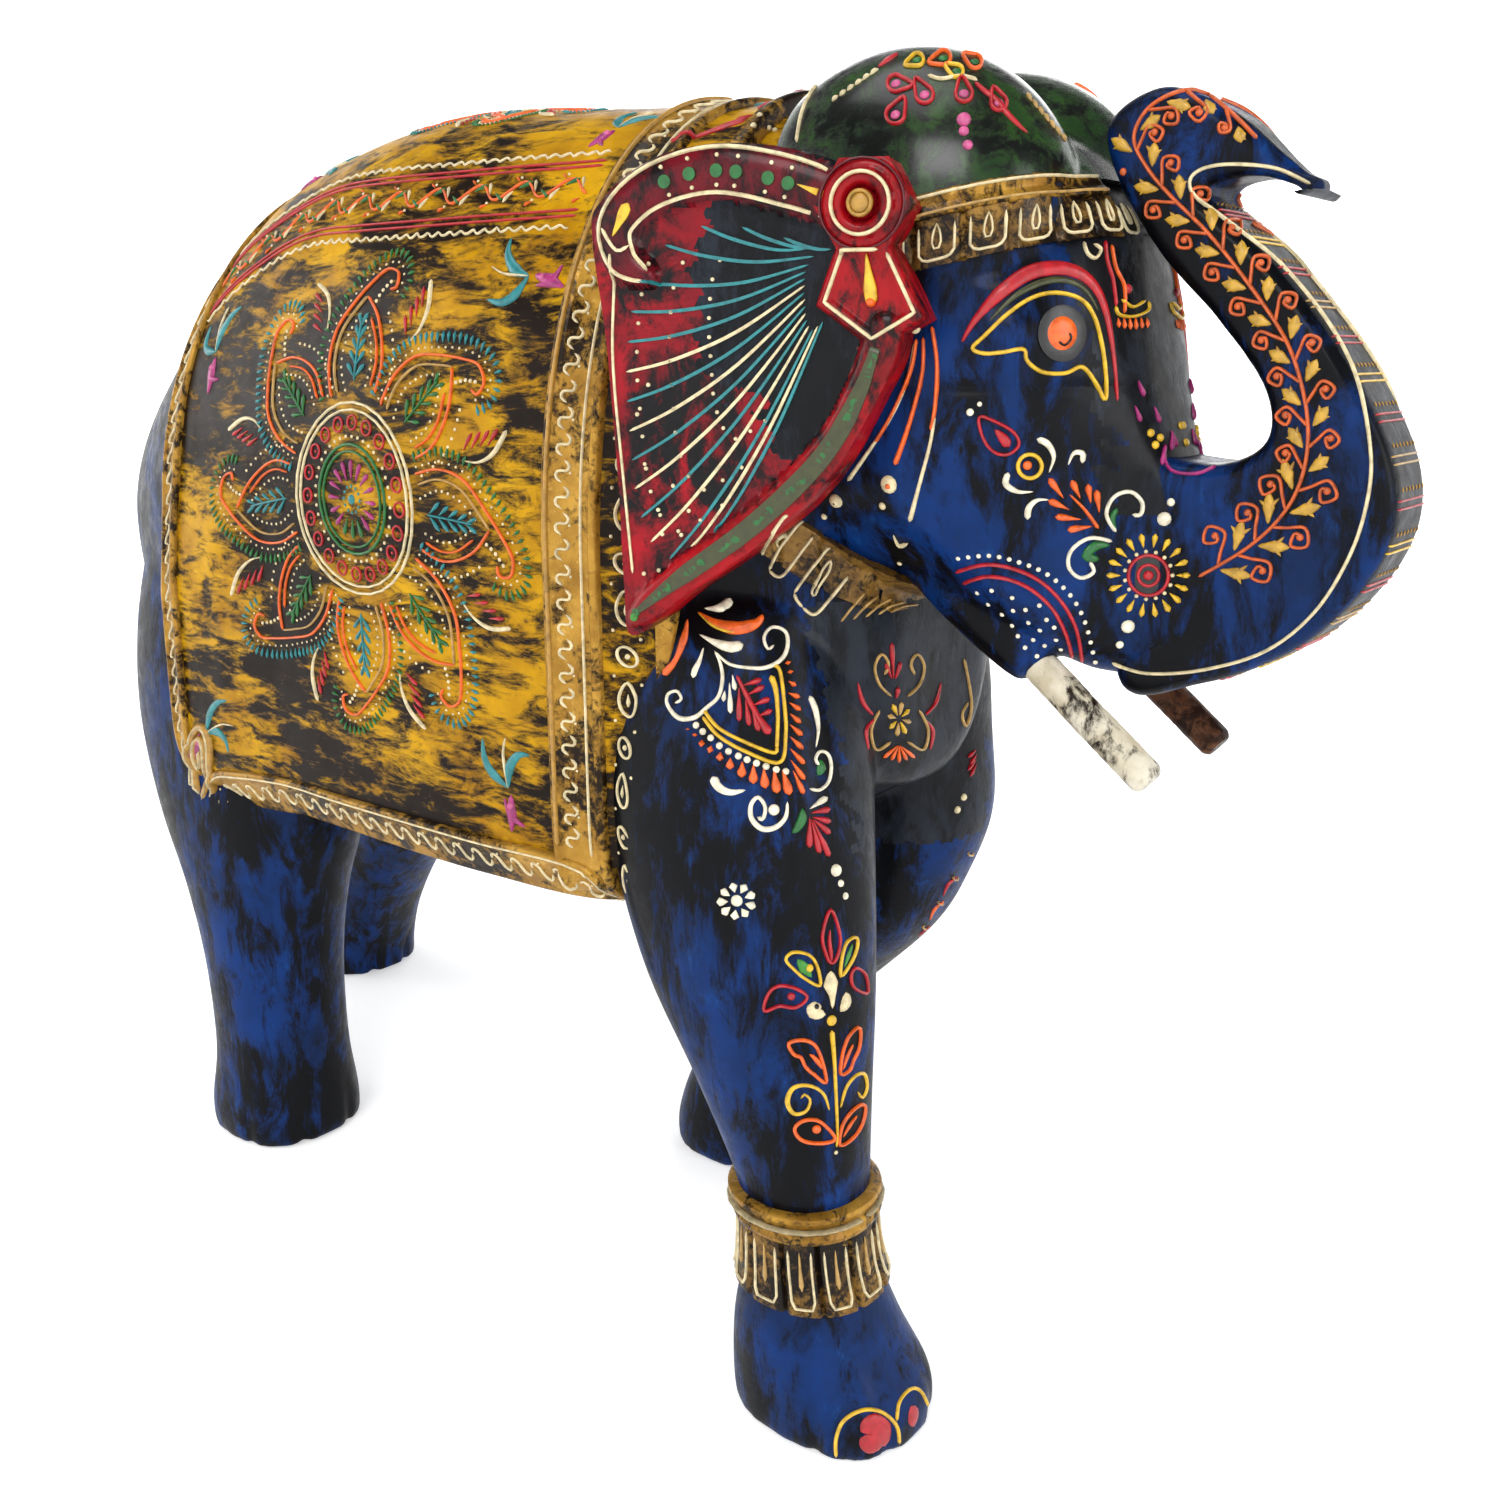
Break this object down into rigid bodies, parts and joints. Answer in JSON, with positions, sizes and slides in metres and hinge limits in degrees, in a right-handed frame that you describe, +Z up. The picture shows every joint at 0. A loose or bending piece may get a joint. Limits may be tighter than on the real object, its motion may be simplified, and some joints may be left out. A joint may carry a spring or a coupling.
{
  "type": "carved elephant figurine",
  "caption": "Standing carved wooden elephant with raised trunk, flared ears, relief saddle cloth, cap and anklets, painted and embossed; push-fit peg tusks slide out.",
  "frame": {"origin": "middle of the footprint: the centre of the bounding box at floor level, under the feet", "axes": "+X towards the head and trunk, +Y towards the elephant's own left, +Z up; the soles stand on z = 0"},
  "size_m": [0.5264, 0.1832, 0.3735],
  "materials": {
    "blue_paint": "distressed royal blue paint over a black ground coat, satin varnish",
    "red_paint": "distressed deep red paint over black, satin varnish",
    "cap_paint": "dark green paint over black, satin varnish",
    "gold_paint": "rubbed gold paint over black",
    "plate_paint": "gold plates on a dark brown ground",
    "ochre_paint": "distressed ochre yellow paint over dark brown",
    "bare_wood": "bare hardwood",
    "tusk_white": "chipped white paint over dark wood",
    "tusk_brown": "worn brown wood with traces of white paint"
  },
  "bodies": {
    "figure": {"torso_block": "blue_paint", "crown_block": "blue_paint", "face_block": "blue_paint", "trunk": "blue_paint", "leg_front_right": "blue_paint", "leg_front_left": "blue_paint", "leg_rear_right": "blue_paint", "leg_rear_left": "blue_paint", "leg_dowels": "bare_wood", "neck_dowels": "bare_wood", "tail": "blue_paint", "ear_right": "red_paint", "ear_left": "red_paint", "rosette_right": "red_paint", "rosette_left": "red_paint", "tassel_right": "red_paint", "tassel_left": "red_paint", "skull_cap": "cap_paint", "cap_rim": "gold_paint", "brow_plates": "plate_paint", "collar_plates": "gold_paint", "saddle_field": "ochre_paint", "saddle_border": "gold_paint", "anklet_ring_right": "gold_paint", "anklet_ring_left": "gold_paint", "anklet_fringe_right": "plate_paint", "anklet_fringe_left": "plate_paint"},
    "tusk_right": {"tusk_right": "tusk_white"},
    "tusk_left": {"tusk_left": "tusk_brown"}
  },
  "joints": [
    {"name": "tusk_right_pull", "type": "slide", "parent": "figure", "child": "tusk_right", "axis": [0.7837, 0, -0.6212], "range_m": [0, 0.025]},
    {"name": "tusk_left_pull", "type": "slide", "parent": "figure", "child": "tusk_left", "axis": [0.7837, 0, -0.6212], "range_m": [0, 0.025]}
  ]
}
